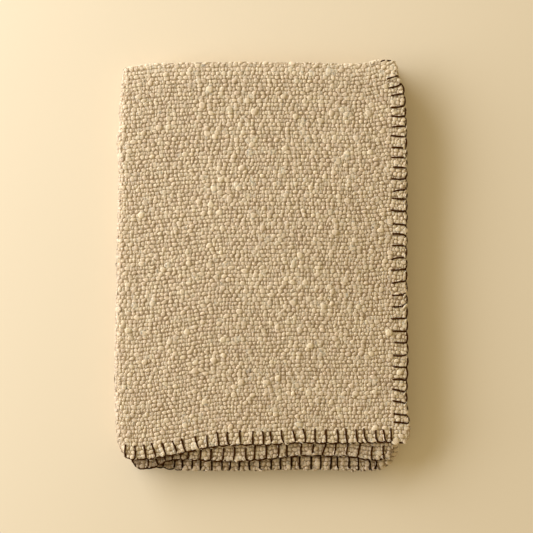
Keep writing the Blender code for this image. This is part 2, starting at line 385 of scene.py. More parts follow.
def stitch_places(seen, first, last, pitch):
    """The stitches that are seen, and evenly spaced ones wherever none can be seen."""
    known = np.unique(np.concatenate([[first, last], *seen]))
    places = [known[-1]]
    for a, b in zip(known, known[1:]):
        parts = round((b - a) / pitch) if b - a > 2.2 * pitch else 1
        between = np.linspace(a, b, parts + 1)[:-1]
        between[1:] += RANDOM.normal(0, pitch * 0.05, len(between) - 1)
        places.extend(between)
    return np.sort(places)


first_turn, second_turn = RUNS[1][3], RUNS[2][3]  # where each of them ends
on_top = seen_along("outer", 0, first_turn - TURN / 2, 0, x_of(FIRST_SEEN))
on_second = seen_along("inner", 0, first_turn - TURN / 2, 0, x_of(SECOND_SEEN))
on_third = seen_along("inner", first_turn, second_turn - TURN, 0, x_of(THIRD_SEEN))
on_side = seen_along("top_side", 0, WIDTH / 2, 1, y_of(SIDE_SEEN))
STITCHES = {
    "top_side": stitch_places([on_side], SIDE_END - WIDTH / 2, on_side.max(), SIDE_STITCH),
    "low_side": stitch_places([], LOW_END - WIDTH / 2, WIDTH / 2 - LOW_END, SIDE_STITCH),
    "outer": stitch_places([on_top], on_top.min(), LENGTH - LONG_END, LONG_STITCH),
    "inner": stitch_places([on_second, on_third], on_second.min(), LENGTH - LONG_END, LONG_STITCH),
}
print("stitches:", {hem: len(places) for hem, places in STITCHES.items()})

# %% The pinch of a stitch and the pillow between two
PINCH = 1.5 * MM
BULGE = 1.0 * MM
SQUEEZE = 0.30
PUFF = 0.16


def from_stitch(hem, at):
    """0 at a stitch and 1 half way between two, along a hem."""
    places = STITCHES[hem]
    i = np.clip(np.searchsorted(places, at), 1, len(places) - 1)
    before, after = places[i - 1], places[i]
    nearest = np.minimum(np.abs(at - before), np.abs(at - after))
    return np.clip(nearest / ((after - before) / 2), 0, 1)


def dressed(along, across, out):
    """Folds points after the stitches have drawn in the hems. The squeeze is full to half the
    bite and gone at one and a quarter; the shift along the cloth is gone at four fifths."""
    squeeze = np.ones_like(out)
    moved_along, moved_across = along.copy(), across.copy()
    for hem in HEMS:
        at, depth = hem_coordinates(hem, along, across)
        near = smooth(1 - (depth - BITE * 0.5) / (BITE * 0.75))
        rise = np.sin(from_stitch(hem, at) * math.pi / 2)
        shift = (PINCH - (PINCH + BULGE) * rise) * smooth(1 - depth / (BITE * 0.8))
        squeeze += near * ((SQUEEZE + PUFF) * rise - SQUEEZE)
        if hem in ("top_side", "low_side"):
            moved_along += shift * (1 if hem == "top_side" else -1)
        else:
            moved_across -= shift * (1 if hem == "outer" else -1)
    return folded(moved_along, moved_across, out * squeeze)


# %% [markdown]
# ## Which way the cloth faces
# A nub stands square to the cloth and keeps its round form, even where a corner is pulled askew, and
# a stitch crosses the hem squarely. So both need the directions of the folded surface at a point,
# and these are read off by folding four more points close by.

# %% Directions on the folded cloth
def unit(vectors):
    return vectors / np.linalg.norm(vectors, axis=-1, keepdims=True)


def directions(along, across, out):
    """At points of the sheet: where they lie, and unit vectors from row to row and off the cloth."""
    step = 1.5 * MM
    place = dressed(along, across, out)
    rows = unit(dressed(along, across + step, out) - dressed(along, across - step, out))
    off = dressed(along, across, out + step / 3) - dressed(along, across, out - step / 3)
    off = unit(off - (off * rows).sum(-1, keepdims=True) * rows)
    return place, rows, off


# %% [markdown]
# ## A mesh from arrays
# Twenty thousand small shapes are too many for one object each. They are worked out as arrays and
# joined in a few meshes, each filled in one call. Two numbers go with every point. `tone` says how
# light it is, so that one material can shade each nub a little differently: 0 is dark and 1 light,
# and it may pass both where the photo shows deep shade or a bright rim. Besides a random tone of its
# own, it carries painted light and shade. `strands` is the angle at which the twist of a nub's yarn
# lies.

# %% Fill a mesh
def in_margin(flat):
    """Places in 0..1, drawn in a little from the border of the baking map."""
    return flat * 0.98 + 0.01


def mesh_piece(name, points, faces, tone, strands, flat=None):
    """An object from arrays, pressed flat on the floor where it would sink into it. flat is a
    place in 0..1 for each point, kept as the baking map."""
    points = np.array(points)
    points[:, 2] = np.maximum(points[:, 2], 0)
    mesh = bpy.data.meshes.new(name)
    mesh.from_pydata(points, [], faces)
    mesh.shade_smooth()
    for key, values in (("tone", tone), ("strands", strands)):
        held = mesh.attributes.new(key, "FLOAT", "POINT")
        held.data.foreach_set("value", np.asarray(values, np.float32))
    if flat is not None:
        corners = np.empty(len(mesh.loops), np.int32)
        mesh.loops.foreach_get("vertex_index", corners)
        layer = mesh.uv_layers.new(name="OFBake")
        layer.uv.foreach_set("vector", flat[corners].astype(np.float32).ravel())
    piece = bpy.data.objects.new(name, mesh)
    bpy.context.scene.collection.objects.link(piece)
    print(f"{name}: {len(points)} points, {(len(faces[0]) - 2) * len(faces)} triangles")
    return piece


# %% [markdown]
# ## Where the wool is lighter or darker
# The lamp and its shadows give most of the light and shade. The rest is finer than this mesh, so it
# is painted into the tone: the turned sides, where loose fibres catch the light, get painted light,
# and the slits between the lower hems get painted shade. Three soft masks tell from a point's place
# on the pile how much of this it has. The ground, the nubs and the yarn all take their tone from
# them.

# %% Painted light on the rims, and painted shade on the hems below
RIM_BAND = 13 * MM
TOP_LAYER = (34 * MM, 38 * MM)  # heights where it begins to count, and where it counts in full
SHADE_RISES = (19 * MM, 23 * MM)  # the same for the shade on the lower hems
SHADE_ENDS = (36.5 * MM, 38.5 * MM)  # where it begins to fade, and where it is gone
SHADE_Y = (-266 * MM, -278 * MM)
DEEP_X = (-105 * MM, -145 * MM)  # where it begins to deepen, and where it is deepest
SHALLOW = 0.27  # of the deepest shade


def ramp(value, limits):
    """0 at the first limit, 1 at the second, and smooth between."""
    return smooth((value - limits[0]) / (limits[1] - limits[0]))


def near_rim(points):
    """1 at the sides and the halved end of the pile, and 0 a little further in."""
    x, y = points[..., 0], points[..., 1]
    side = smooth((np.abs(x) - PILE_HALF[0] + RIM_BAND) / RIM_BAND)
    return np.maximum(side, smooth((y - PILE_HALF[1] + 2 * RIM_BAND) / (2 * RIM_BAND)))


def on_top_layer(points):
    """1 on the top layer, falling to 0 through the layer below it."""
    return ramp(points[..., 2], TOP_LAYER)


def in_shade(points):
    """Above 0 in the lower hems under the top layer, where the photo shows shade, and 1 in their
    left end, where it is deepest."""
    x, y, z = (points[..., axis] for axis in range(3))
    deep = SHALLOW + (1 - SHALLOW) * ramp(x, DEEP_X)
    return deep * ramp(y, SHADE_Y) * (1 - ramp(z, SHADE_ENDS)) * ramp(z, SHADE_RISES)


# %% [markdown]
# ## The woven ground
# Under the nubs lies the plain cloth that the weaver's warp and weft make. It is a closed sheet:
# the flat rectangle as two grids, a little apart, joined round the edge. Its steps are short where
# it turns and where it is stitched, and longer on the flat. It is thinner than the solid, because
# the nubs fill the rest of the thickness.

# %% Steps of the ground
GROUND = 0.95 * MM  # half its thickness
GROUND_STEP = 9 * MM
TURN_STEPS = 12
HALVING_STEPS = 8
EDGE_STEPS = np.array([0, 1.2, 3.2]) * MM
EVEN_FROM = 6 * MM  # in from a side hem, and beyond it the steps are even
HEM_STEPS = np.array([0, 1.2, 3.2, 6, 10, 15, 21]) * MM
HEM_EVEN_FROM = 28 * MM


def steps_between(first, last, step):
    return np.linspace(first, last, max(2, round((last - first) / step) + 1))


def ground_along():
    found = [EDGE_STEPS]
    for run, (_, first, last, begins) in enumerate(RUNS):
        ends = begins + abs(last - first)
        low = EVEN_FROM if run == 0 else begins
        high = LENGTH - EVEN_FROM if run == LAST_RUN else ends
        found.append(steps_between(low, high, GROUND_STEP))
        if run < LAST_RUN:
            found.append(np.linspace(ends, ends + TURN, TURN_STEPS + 1)[1:-1])
    found.append(LENGTH - EDGE_STEPS[::-1])
    return np.concatenate(found)


def ground_across():
    half = steps_between(HALVING_REACH, WIDTH / 2 - HEM_EVEN_FROM, GROUND_STEP)
    half = np.concatenate([half, WIDTH / 2 - HEM_STEPS[::-1]])
    turn = np.linspace(-HALVING_REACH, HALVING_REACH, HALVING_STEPS + 1)[1:-1]
    return np.concatenate([-half[::-1], turn, half])


print("points of one face of the ground:", len(ground_along()), "by", len(ground_across()))

# %% Weave the ground
ROUNDING = GROUND * 1.2  # how far in from the edge the sheet grows thinner
LIT_SIDE = (-180 * MM, -210 * MM)  # x between which the ground grows paler, towards the lamp
LIT = 0.45  # how much paler


def sheet_faces(rows, columns):
    """Faces of two grids of so many points, one over the other, joined round their edge."""
    count = rows * columns
    index = np.arange(count).reshape(rows, columns)
    quads = np.stack([index[:-1, :-1], index[1:, :-1], index[1:, 1:], index[:-1, 1:]], -1)
    quads = quads.reshape(-1, 4)
    rim = np.concatenate([index[:, 0], index[-1, 1:], index[-2::-1, -1], index[0, -2:0:-1]])
    beyond = np.roll(rim, -1)
    wall = np.stack([beyond, rim, rim + count, beyond + count], -1)
    return np.concatenate([quads, quads[:, ::-1] + count, wall])


def woven_ground():
    """The sheet, thinned to a round edge. Each face of it has its own half of the baking map."""
    along, across = np.meshgrid(ground_along(), ground_across(), indexing="ij")
    inset = np.clip(1 - from_edge(along, across) / ROUNDING, 0, 0.9)
    out = GROUND * np.sqrt(1 - inset**2)
    points = np.concatenate([dressed(along, across, out), dressed(along, across, -out)])
    points = points.reshape(-1, 3)
    flat = in_margin(np.stack([along / LENGTH / 2, across / WIDTH + 0.5], -1).reshape(-1, 2))
    flat = np.concatenate([flat, flat + [0.5, 0]])
    lit = LIT * ramp(points[:, 0], LIT_SIDE)
    # painted light makes the ground paler towards the lamp and near the rims, and in_shade paints
    # shade on the lower hems
    tone = 0.5 + lit + (0.5 - lit) * near_rim(points) - in_shade(points)
    faces = sheet_faces(*along.shape)
    return mesh_piece("woven_ground", points, faces, tone, np.zeros(len(points)), flat)


ground = woven_ground()

# %% [markdown]
# ## The nubs
# Boucle is woven with a looped yarn, and each loop stands up as a small wool nub. In the photo the
# nubs lie in rows along the cloth, about 6 mm apart. Along a row they are uneven, because the yarn
# is: some loops are tight, some wide, and here and there one is a soft tuft that hides the gaps
# beside it. Rows over the whole flat sheet give the places of all of them.

# %% Places of the nubs
ROW = 6.22 * MM
NUB_STEP = 5.4 * MM
NUB_TALL = 6.2 * MM
NUB_WIDE = 6.0 * MM
NUB_HIGH = 1.2 * MM
EVEN = 6  # of the yarn's loops: the higher, the less their lengths differ
EDGE_BAND = 2.0 * MM


def lattice():
    """Places for nubs over the whole flat sheet, in rows along it, and the length of each loop as
    a share of the mean."""
    rows = round(WIDTH / ROW)
    steps = round(LENGTH / NUB_STEP)
    loops = RANDOM.gamma(EVEN, 1 / EVEN, (rows, steps)).clip(0.5, 1.75)
    loops *= steps / loops.sum(1, keepdims=True)
    along = (np.cumsum(loops, 1) - loops / 2) * LENGTH / steps
    row = (np.arange(rows)[:, None] + 0.5) / rows * WIDTH - WIDTH / 2
    across = row + RANDOM.normal(0, 0.3 * MM, loops.shape)
    inside = from_edge(along, across) > EDGE_BAND
    return along[inside], across[inside], loops[inside]


def run_of(along):
    """The run in which each point lies, from 0, how far it is into that run, and how far into the
    turn after it."""
    begins = np.array([begins for _, _, _, begins in RUNS])
    run = np.clip(np.searchsorted(begins, along, side="right") - 1, 0, LAST_RUN)
    ends = np.array([begins + abs(last - first) for _, first, last, begins in RUNS])
    return run, along - begins[run], along - ends[run]


# %% [markdown]
# ## Which nubs show
# The two faces have some hundred and twenty thousand nubs, and more than four in five lie hidden
# between layers. Only those on the top, on the rims of the folds, along the hems and on the
# underside are kept. They are sorted by their flat coordinates, which is quicker and surer than to
# look for the hidden ones in the folded shape.

# %% Sort them
FACE, BACK = 1, -1  # the two sides of the cloth: its face lies outside when it is halved
TOP, RIM_OR_HEM, HIDDEN, UNDER = 2, 1, 0, -1  # sorts of nubs
HEM_BAND = 14 * MM
DEEP_BAND = 42 * MM  # of the inner hem, where it lies open under the top layer
HALVING_BAND = 15 * MM
TURN_BAND = 9 * MM


def shows(along, across, side):
    """The sort of each place on one side of the cloth."""
    run, since, past = run_of(along)
    at_turn = np.where((since < TURN_BAND) & (run > 0), run - 1, -1)
    at_turn = np.where((past > -TURN_BAND) & (run < LAST_RUN), run, at_turn)
    strip = (across < 0) & (WIDTH / 2 + across < DEEP_BAND)
    sort = np.full(len(along), HIDDEN)
    sort[from_edge(along, across) < HEM_BAND] = RIM_OR_HEM
    if side == FACE:
        sort[np.abs(across) < HALVING_BAND] = RIM_OR_HEM
        sort[(across > 0) & ((at_turn == 0) | (at_turn == 2))] = RIM_OR_HEM
        sort[(across < 0) & (at_turn == 1)] = RIM_OR_HEM
        sort[strip & (run == 1)] = RIM_OR_HEM
        sort[(run == LAST_RUN) & (past <= 0) & (across > 0) & (sort == HIDDEN)] = UNDER
        sort[(run == 0) & (past <= 0) & (across > 0)] = TOP
    else:
        sort[strip & (run == 0)] = RIM_OR_HEM
    return sort


# %% [markdown]
# ## How nubs stand
# Most stand square to the face of the cloth. Two more rows cover the cut edge of each hem, where
# the loops of the real cloth spill over, and they face outwards. A stitch pushes the nubs aside, so
# the yarn shows whole.

# %% Keep nubs off the stitches
CLEAR = 2.6 * MM


def clear_of_stitches(along, across):
    """Moves places that a stitch would cover to its side."""
    along, across = along.copy(), across.copy()
    for hem in HEMS:
        at, depth = hem_coordinates(hem, along, across)
        places = STITCHES[hem]
        nearest = places[np.abs(at[:, None] - places[None]).argmin(1)]
        away = at - nearest
        wanted = np.where(away < 0, -1, 1) * np.maximum(np.abs(away), CLEAR)
        moved = np.where(depth < BITE, nearest + wanted, at)
        along, across = sheet_coordinates(hem, moved, depth)
    return along, across


# %% How nubs stand on a face, and how they stand on a cut edge
FOOT = 0.8  # of the ground's half thickness: where a nub's foot is sunk in it
EDGE_PAST = 8 * MM  # from the last stitch of a hem to the last nub on its edge
EDGE_STEP = 4.3 * MM
EDGE_DEPTH = 1.1 * MM
EDGE_TILT = 0.55  # radians, by turns to either side of the edge
EDGE_LOOP = 0.93  # of the mean loop


def on_face(along, across, loops, side):
    """The flat places of nubs, where they come to lie, their upright and outward directions, and
    how long their loops are."""
    along, across = clear_of_stitches(along, across)
    place, rows, off = directions(along, across, np.full(len(along), side * GROUND * FOOT))
    return along, across, place, rows, off * side, loops


def on_edge(hem):
    """The same for the nubs that cover a hem's cut edge, in two loose rows."""
    first, last = STITCHES[hem][[0, -1]]
    at = np.arange(first - EDGE_PAST, last + EDGE_PAST, EDGE_STEP)
    at = at + RANDOM.normal(0, 0.5 * MM, len(at))
    depth = np.full(len(at), EDGE_DEPTH)
    along, across = clear_of_stitches(*sheet_coordinates(hem, at, depth))
    place, _, off = directions(along, across, np.zeros(len(at)))
    inside = dressed(*sheet_coordinates(hem, at, depth + 2 * MM), np.zeros(len(at)))
    outward = place - inside
    outward = unit(outward - (outward * off).sum(-1, keepdims=True) * off)
    tilt = np.where(np.arange(len(at)) % 2, EDGE_TILT, -EDGE_TILT)
    tilt = tilt + RANDOM.normal(0, 0.2, len(at))
    c, s = np.cos(tilt)[:, None], np.sin(tilt)[:, None]
    facing = outward * c + off * s
    hemward = np.cross(off * c - outward * s, facing)
    loops = np.full(len(at), EDGE_LOOP)
    return along, across, place + facing * GROUND / 2, hemward, facing, loops


# %% [markdown]
# ## The form of a nub
# A nub is a low dome of two or three rings round a tip, flattened on top. No two are alike: random
# numbers change its size and height, turn it, make its outline wander and its tip lean. On a fold,
# where the cloth is stretched, nubs are lower, and on the tight halving fold they are narrow. All
# of one piece are worked out together, as arrays with a row for each nub.

# %% A plain nub
LOWEST, HIGHEST = math.radians(102), math.radians(32)  # rings, as angles from straight up
FLATTENED = 0.6  # the lower, the flatter the top


def nub_form(rings, sides):
    """Unit dome with a flattened top: directions round it, the radius and height of each ring, and
    its triangles."""
    polar = np.linspace(LOWEST, HIGHEST, rings)
    around = np.arange(sides) / sides * math.tau
    faces = []
    for ring in range(rings - 1):
        for k in range(sides):
            a, b = ring * sides + k, ring * sides + (k + 1) % sides
            faces += [(a, b, b + sides), (a, b + sides, a + sides)]
    top = (rings - 1) * sides
    faces += [(top + k, top + (k + 1) % sides, rings * sides) for k in range(sides)]
    height = np.sign(np.cos(polar)) * np.abs(np.cos(polar)) ** FLATTENED
    return around, np.sin(polar), height, np.array(faces)


# %% Numbers that differ from nub to nub
TUFTS = 0.08  # of all the nubs
TUFT_SIZE = (1.25, 1.65)
SIZES = (0.13, 0.72, 1.3)  # how much they spread round 1, the least and the most
HEIGHTS = (0.2, 0.5, 1.5)


def uneven(shape, spread, least, most):
    """Random numbers round 1."""
    return RANDOM.normal(1, spread, shape).clip(least, most)


def nub_numbers(loops, wide):
    """For each nub: 1 or its size as a tuft, its size, length and height, and how it is turned,
    how its outline wanders and which way its tip leans."""
    count = len(loops)
    tuft = np.where(RANDOM.random(count) < TUFTS, RANDOM.uniform(*TUFT_SIZE, count), 1)
    size = uneven(count, *SIZES) * tuft * wide
    longer = loops ** np.where(tuft > 1, 0.3, 0.8)
    high = uneven(count, *HEIGHTS) * tuft**0.8 * loops**0.5 * NUB_HIGH
    turn = RANDOM.normal(0, 0.3, count)
    phase = RANDOM.random((2, count, 1)) * math.tau
    lean = RANDOM.normal(0, 0.12, (2, count, 1)).clip(-0.3, 0.3)
    return tuft, size, longer, high, turn, phase, lean


# %% How light each nub is
TONE, TONE_SPREAD, TUFT_LIGHTER = 0.5, 0.15, 0.3  # the first two are a mean and its spread
# painted light on nubs that face the halved end or the right side, painted shade on those that face
# the left and on the lower hems
HALVED_LIGHTER, RIGHT_LIGHTER, HEM_LIGHTER = 0.5, 0.45, 0.35
LEFT_DARKER, SHADE_DARKER = 1.1, 1.2
HEM_LIGHT = (BITE * 1.2, BITE * 0.9)  # in from the hem: where its lighter tone starts and is full


def nub_tones(tuft, along, across, place, off):
    """How light each nub is. Nubs that face the halved end or the right side get painted light, those
    that face the left side are painted darker, and the lower hems get painted shade. The hems on top
    are lighter as well."""
    right, halved = off[:, 0], off[:, 1]
    tone = RANDOM.normal(TONE, TONE_SPREAD, len(tuft)).clip(0, 1) + (tuft - 1) * TUFT_LIGHTER
    tone += HALVED_LIGHTER * halved.clip(0, 1) + RIGHT_LIGHTER * right.clip(0, 1)
    tone -= LEFT_DARKER * right.clip(-1, 0) ** 2
    from_hem = np.minimum(along, WIDTH / 2 - np.abs(across))
    tone += HEM_LIGHTER * ramp(from_hem, HEM_LIGHT) * on_top_layer(place)
    return tone - SHADE_DARKER * in_shade(place)


# %% Shape many nubs at once
def outlines(around, radius, size, phase):
    """Radius of every point of the rings, as (nub, ring, side)."""
    wander = 1 + 0.10 * np.sin(2 * around + phase[0]) + 0.09 * np.sin(3 * around + phase[1])
    ring = radius[None, :, None] * (wander * size[:, None])[:, None, :]
    return ring * RANDOM.normal(1, 0.05, ring.shape)


def domes(ring, around, height, long, tall, lean, turn):
    """The rings with a tip on top: how far each point lies along the cloth, up its rows and, as a
    share of the nub's height, off it."""
    count, _, sides = ring.shape
    tip = np.zeros((count, 1))
    u = np.concatenate([(np.cos(around) * ring).reshape(count, -1), tip], 1) * long[:, None] / 2
    v = np.concatenate([(np.sin(around) * ring).reshape(count, -1), tip], 1) * tall[:, None] / 2
    rise = np.append(np.repeat(height, sides), 1)[None] * RANDOM.normal(1, 0.08, u.shape)
    rise[:, -1] *= RANDOM.uniform(0.7, 1.05, count)
    u = u + lean[0] * rise.clip(0) * NUB_WIDE
    v = v + lean[1] * rise.clip(0) * NUB_TALL
    c, s = np.cos(turn)[:, None], np.sin(turn)[:, None]
    return u * c - v * s, u * s + v * c, rise


FOLD_BAND = HALVING_REACH + 2 * MM
FOLD_HIGH = 0.45  # of the usual height, on the outside of a fold
FOLD_NARROW = 0.68  # of the usual width, across the halving fold


def nubs(name, standing, rings, sides, highest, wide=1.0, stretched=False):
    """One mesh of nubs, none of them higher than highest over the ground, and lower where the
    cloth is stretched over a fold."""
    along, across, place, rows, off, loops = map(np.concatenate, zip(*standing))
    around, radius, height, faces = nub_form(rings, sides)
    tuft, size, longer, high, turn, phase, lean = nub_numbers(loops, wide)
    if stretched:
        high *= FOLD_HIGH + (1 - FOLD_HIGH) * smooth(np.abs(off[:, 2]) / 0.95)
    tone = nub_tones(tuft, along, across, place, off)
    size *= 1 + 0.1 * near_rim(place)
    narrow = np.where(np.abs(across) < FOLD_BAND, FOLD_NARROW, 1)
    ring = outlines(around, radius, size, phase)
    u, v, rise = domes(ring, around, height, NUB_WIDE * longer, NUB_TALL * narrow, lean, turn)

    up = np.minimum(rise * high[:, None], highest)
    right = np.cross(rows, off)
    points = place[:, None] + right[:, None] * u[..., None] + rows[:, None] * v[..., None]
    points = points + off[:, None] * up[..., None]
    count, step = u.shape
    faces = faces[None] + (np.arange(count) * step)[:, None, None]
    # painted light and shade: each nub is lighter towards its tip and darker towards its foot,
    # between its neighbours
    shade = np.repeat(tone, step) + (rise.ravel().clip(0) - 0.6) * 0.25
    flat = np.stack([(along[:, None] + u).ravel(), (across[:, None] + v).ravel()], -1)
    flat = in_margin((flat - flat.min(0)) / np.ptp(flat, axis=0))
    strands = np.repeat(RANDOM.random(count) * math.tau, step)
    return mesh_piece(name, points.reshape(-1, 3), faces.reshape(-1, 3), shade, strands, flat)


# %% [markdown]
# ## The nubs of the whole throw
# They go into six meshes, because one would be too heavy. Those on the top have nine sides each,
# and those that show less have six. Between two layers a nub has no room to stand up, so there it
# is cut short. Where a fold draws the cloth apart, more nubs fill the gaps.

# %% Lay out all the nubs
OPEN = 1.0  # metres: nothing lies above, so no nub is cut short
LAYER_ROOM = 1.8 * MM  # for a nub between two layers
UNDER_WIDER = 1.35
places = {side: lattice() for side in (FACE, BACK)}
sorts = {side: shows(*places[side][:2], side) for side in (FACE, BACK)}
for side, side_name in ((FACE, "face"), (BACK, "back")):
    shown = (sorts[side] != HIDDEN).sum()
    print(f"{len(sorts[side])} nubs on the {side_name} of the cloth, of which {shown} show")


def chosen(side, sort, more=True):
    """The standing nubs of one sort on one side, or those of them that more picks."""
    on = (sorts[side] == sort) & more
    return on_face(*(values[on] for values in places[side]), side)


def between_rims():
    """More nubs between those on the outside of a fold, where the cloth is drawn apart."""
    along, across, loops = places[FACE]
    run, _, past = run_of(along)
    halved = np.abs(across) < FOLD_BAND
    turned = (past > -NUB_STEP) & (run < LAST_RUN) & (np.abs(across) > HALVING_REACH)
    on = (sorts[FACE] == RIM_OR_HEM) & (halved | turned)
    along, across, loops, halved = along[on], across[on], loops[on], halved[on]
    along = along + np.where(halved, 0.5, 0.6) * NUB_STEP
    return on_face(along, across + halved * ROW / 2, loops * 0.9, FACE)


far = places[FACE][1] < WIDTH / 4
every_other = np.arange(len(far)) % 2 == 0  # enough for the underside, if those are wider
edges = [on_edge(hem) for hem in HEMS]
under = chosen(FACE, UNDER, every_other)
nub_pieces = [
    nubs("nubs_top_far", [chosen(FACE, TOP, far)], 3, 9, OPEN, stretched=True),
    nubs("nubs_top_near", [chosen(FACE, TOP, ~far)], 3, 9, OPEN, stretched=True),
    nubs("nubs_rims", [chosen(FACE, RIM_OR_HEM)], 3, 6, LAYER_ROOM, stretched=True),
    nubs("nubs_hems", [chosen(BACK, RIM_OR_HEM), *edges], 3, 6, LAYER_ROOM),
    nubs("nubs_folds", [between_rims()], 3, 6, LAYER_ROOM, stretched=True),
    nubs("nubs_underside", [under], 2, 6, LAYER / 2 - GROUND, UNDER_WIDER),
]

# %% [markdown]
# ## The blanket stitch
# One brown yarn goes round all four edges. Each stitch is a leg on either face, one bite deep, and
# round the edge between them; a thread along the edge links it to the next. Each leg crosses the
# hem squarely, as a hand draws it, so it leans where the hem does. It is made as a tube of six
# sides round a line of points in the hem's own coordinates, so it follows every fold by itself.

# %% A tube for many lines at once
YARN_SIDES = 6


def tubes(lines, sideways, radius):
    """Points and faces of closed tubes along lines, an array of (line, point, xyz)."""
    count, steps, _ = lines.shape
    tangent = np.gradient(lines, axis=1)
    tangent /= np.linalg.norm(tangent, axis=2, keepdims=True)
    first = np.cross(tangent, sideways)
    first /= np.linalg.norm(first, axis=2, keepdims=True)
    second = np.cross(tangent, first)
    around = np.arange(YARN_SIDES) / YARN_SIDES * math.tau
    ring = np.cos(around)[:, None] * first[:, :, None] + np.sin(around)[:, None] * second[:, :, None]
    points = lines[:, :, None] + ring * radius[..., None, None]
    faces = []
    for i in range(steps - 1):
        for k in range(YARN_SIDES):
            a, b = i * YARN_SIDES + k, i * YARN_SIDES + (k + 1) % YARN_SIDES
            faces += [(a, b, b + YARN_SIDES), (a, b + YARN_SIDES, a + YARN_SIDES)]
    last = (steps - 1) * YARN_SIDES
    for k in range(1, YARN_SIDES - 1):
        faces += [(0, k + 1, k), (last, last + k, last + k + 1)]
    faces = np.array(faces)[None] + (np.arange(count) * steps * YARN_SIDES)[:, None, None]
    return points.reshape(-1, 3), faces.reshape(-1, 3)


# %% [markdown]
# ## How the yarn lies
# A leg's path is a short table of depth and height, the same for each stitch. What a hand does
# unevenly comes from a few more: on some stretches the thread along the edge has slipped over the
# face or in between the layers, here and there the legs lean, and near the halving fold they are
# pulled down into the wool.

# %% Legs and the thread along the edge
YARN = 1.4 * MM  # half its thickness
LINK = YARN * 0.95  # the same of the linking thread, which is drawn tight
LIE = 2.2 * MM  # how far off the middle of the cloth it lies
BITES = (0.06, 0.88, 1.12)  # as SIZES, of how deep each stitch goes
LEG = (  # depth as a share of the bite, and height as a share of the yarn's lie
    (1.03, -0.1), (1.0, 0.72), (0.92, 0.97), (0.74, 1.02), (0.5, 1.0), (0.27, 1.0), (0.08, 0.92),
    (-0.03, 0.5), (-0.05, 0.0), (-0.03, -0.5), (0.08, -0.92), (0.5, -1.0), (0.95, -0.95),
    (1.0, 0.0),
)
SAG = 0.35  # of the linking thread, where LINKS has no row, off the middle towards the face
SLIPPED = 0.8
RIGHT_IN = -0.9
LINKS = (  # hem, from and to along it, and how far off the middle the linking thread lies there:
    # 1 is on the cloth's face and -1 on its back. Beyond SLIPPED it has left the edge, and past
    # RIGHT_IN it lies in from it too
    ("top_side", -60 * MM, 35 * MM, -0.95), ("outer", 0, first_turn - TURN, 0.65),
    ("inner", 0, first_turn - TURN, -0.5), ("inner", first_turn + 85 * MM, second_turn, -0.95),
)
LEAN = {  # how far a leg's inner end lies along the hem, in mm, at places along it
    "top_side": ((0, 3), (30, -1), (60, 1), (110, -1), (140, -1), (215, 0), (235, -2), (270, -2),
                 (290, 0), (312, 2), (380, 2), (415, 0), (500, 0), (525, -4.5), (545, -5.5)),
    "low_side": ((-600, 1), (600, 1)),
    "outer": ((0, 2), (165, 2), (255, 0.5), (330, 0), (344, 3), (360, 1.5), (389, 4), (406, 4),
              (420, 1), (480, 0)),
    "inner": ((0, -1), (100, -2), (126, -5), (150, -2), (300, -1.8), (430, 0), (820, 0),
              (840, -2.5), (850, 3.5), (900, 0)),
}
SUNK = (  # on the top layer's side: mm from the halving fold, and height as a share of the usual
    (0, 0.55), (12, 0.6), (30, 0.8), (45, 1),
)


# %% Legs cross the hem squarely
DRIFT_STEPS = 8


def square_drift(hem, at):
    """How far along the hem a line has drifted at each step of depth, if it leaves the hem
    squarely and runs on straight over the folded cloth."""
    reach = 3 * MM
    level = np.zeros(len(at))

    def lies(at, depth):
        return folded(*sheet_coordinates(hem, at, np.full(len(at), float(depth))), level)

    drift = [level]
    for step in range(DRIFT_STEPS):
        here = at + drift[-1]
        depth = step * BITE / DRIFT_STEPS
        along_hem = (lies(here + reach, depth) - lies(here - reach, depth)) / (2 * reach)
        inward = (lies(here, depth + reach) - lies(here, depth)) / reach
        hem_way = along_hem if step == 0 else hem_way
        turn = -(inward * hem_way).sum(-1) / (along_hem * hem_way).sum(-1)
        drift.append(drift[-1] + turn.clip(-1.5, 1.5) * BITE / DRIFT_STEPS)
    return np.stack(drift, 1)


# %% Yarn on the cloth
def lifted(along, across, out):
    """Yarn points on the cloth as the stitches have drawn it in, at their full height over it."""
    ground = dressed(along, across, np.clip(out, -GROUND, GROUND))
    off = dressed(along, across, np.full_like(out, 0.3 * MM))
    off = unit(off - dressed(along, across, np.full_like(out, -0.3 * MM)))
    return ground + off * (out - np.clip(out, -GROUND, GROUND))[..., None]


def legs_of(hem):
    """The legs of one hem, as tubes."""
    at = STITCHES[hem]
    depth, height = np.array(LEG).T
    share = depth.clip(0, 1)
    steps = np.linspace(0, 1, DRIFT_STEPS + 1)
    at_steps = np.array([np.interp(share, steps, row) for row in np.eye(DRIFT_STEPS + 1)])
    drift = square_drift(hem, at) @ at_steps
    bite = BITE * uneven((len(at), 1), *BITES)
    slant = np.interp(at[:, None] / MM, *np.array(LEAN[hem]).T) * MM
    slant = slant + RANDOM.normal(0, 0.7 * MM, slant.shape)
    bow = RANDOM.normal(0, 0.7 * MM, slant.shape)
    place = at[:, None] + drift + slant * share + bow * np.sin(share * math.pi)
    up = height * LIE * np.ones_like(place)
    if hem == "top_side":
        up = up * np.interp(np.abs(at) / MM, *np.array(SUNK).T)[:, None]
    lines = lifted(*sheet_coordinates(hem, place, depth * bite), up)
    beside = lifted(*sheet_coordinates(hem, place + 1 * MM, depth * bite), up)
    return tubes(lines, beside - lines, np.full(place.shape, YARN))


